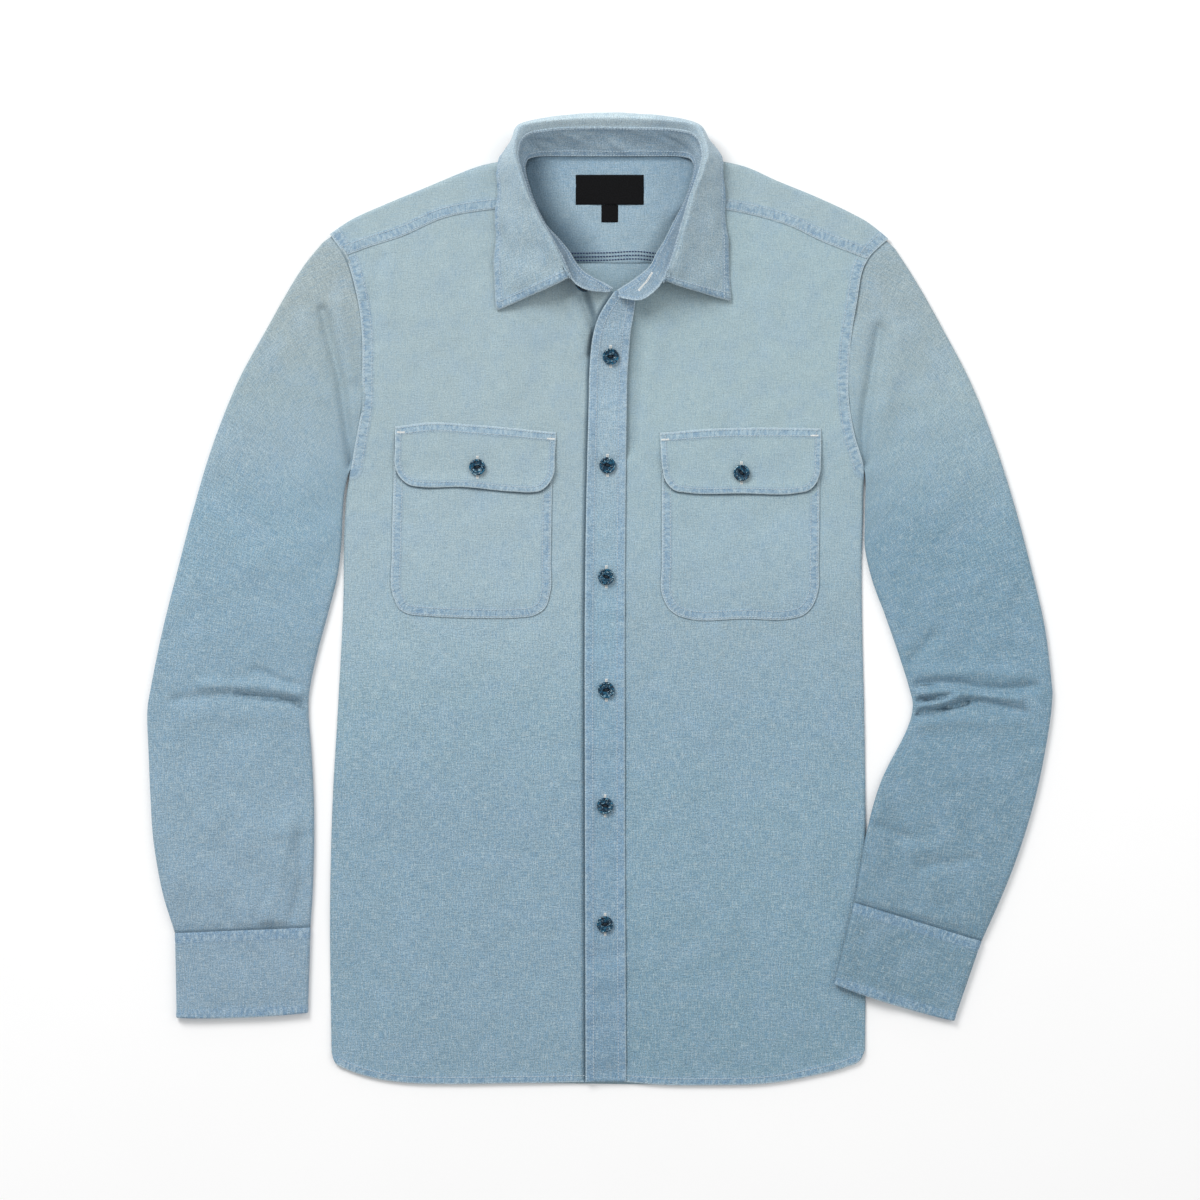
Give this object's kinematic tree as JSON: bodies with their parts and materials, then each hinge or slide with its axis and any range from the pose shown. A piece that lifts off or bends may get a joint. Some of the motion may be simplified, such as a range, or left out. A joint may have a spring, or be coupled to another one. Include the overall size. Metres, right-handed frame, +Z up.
{
  "type": "work shirt",
  "caption": "Long-sleeved chambray work shirt laid flat with its front up and its collar turned down, with flapped chest pockets, a buttonhole band and buttoned cuffs folded to the back.",
  "frame": {"origin": "centre of the laid shirt's outline, on the table under its back", "axes": "+X towards the wearer's left side, +Y from the hem towards the collar, +Z up from the table, out of the front"},
  "size_m": [0.7238, 0.7766, 0.0381],
  "materials": {
    "chambray": "light blue plain weave cotton, washed, matte",
    "chambray_doubled": "the same cloth doubled over an interlining, topstitched, matte",
    "button": "polished dark teal and navy marbled resin",
    "label": "black woven tape, blank"
  },
  "bodies": {
    "root": {"back": "chambray", "yoke": "chambray_doubled", "front_right": "chambray", "front_left": "chambray", "front_placket": "chambray_doubled", "collar_stand": "chambray_doubled", "collar": "chambray_doubled", "sleeve_right": "chambray", "sleeve_left": "chambray", "cuff_right": "chambray_doubled", "cuff_left": "chambray_doubled", "pocket_right": "chambray", "pocket_left": "chambray", "flap_right": "chambray_doubled", "flap_left": "chambray_doubled", "button_front_1": "button", "button_front_2": "button", "button_front_3": "button", "button_front_4": "button", "button_front_5": "button", "button_front_6": "button", "button_flap_right": "button", "button_flap_left": "button", "button_collar": "button", "label": "label", "label_tab": "label"}
  },
  "joints": []
}
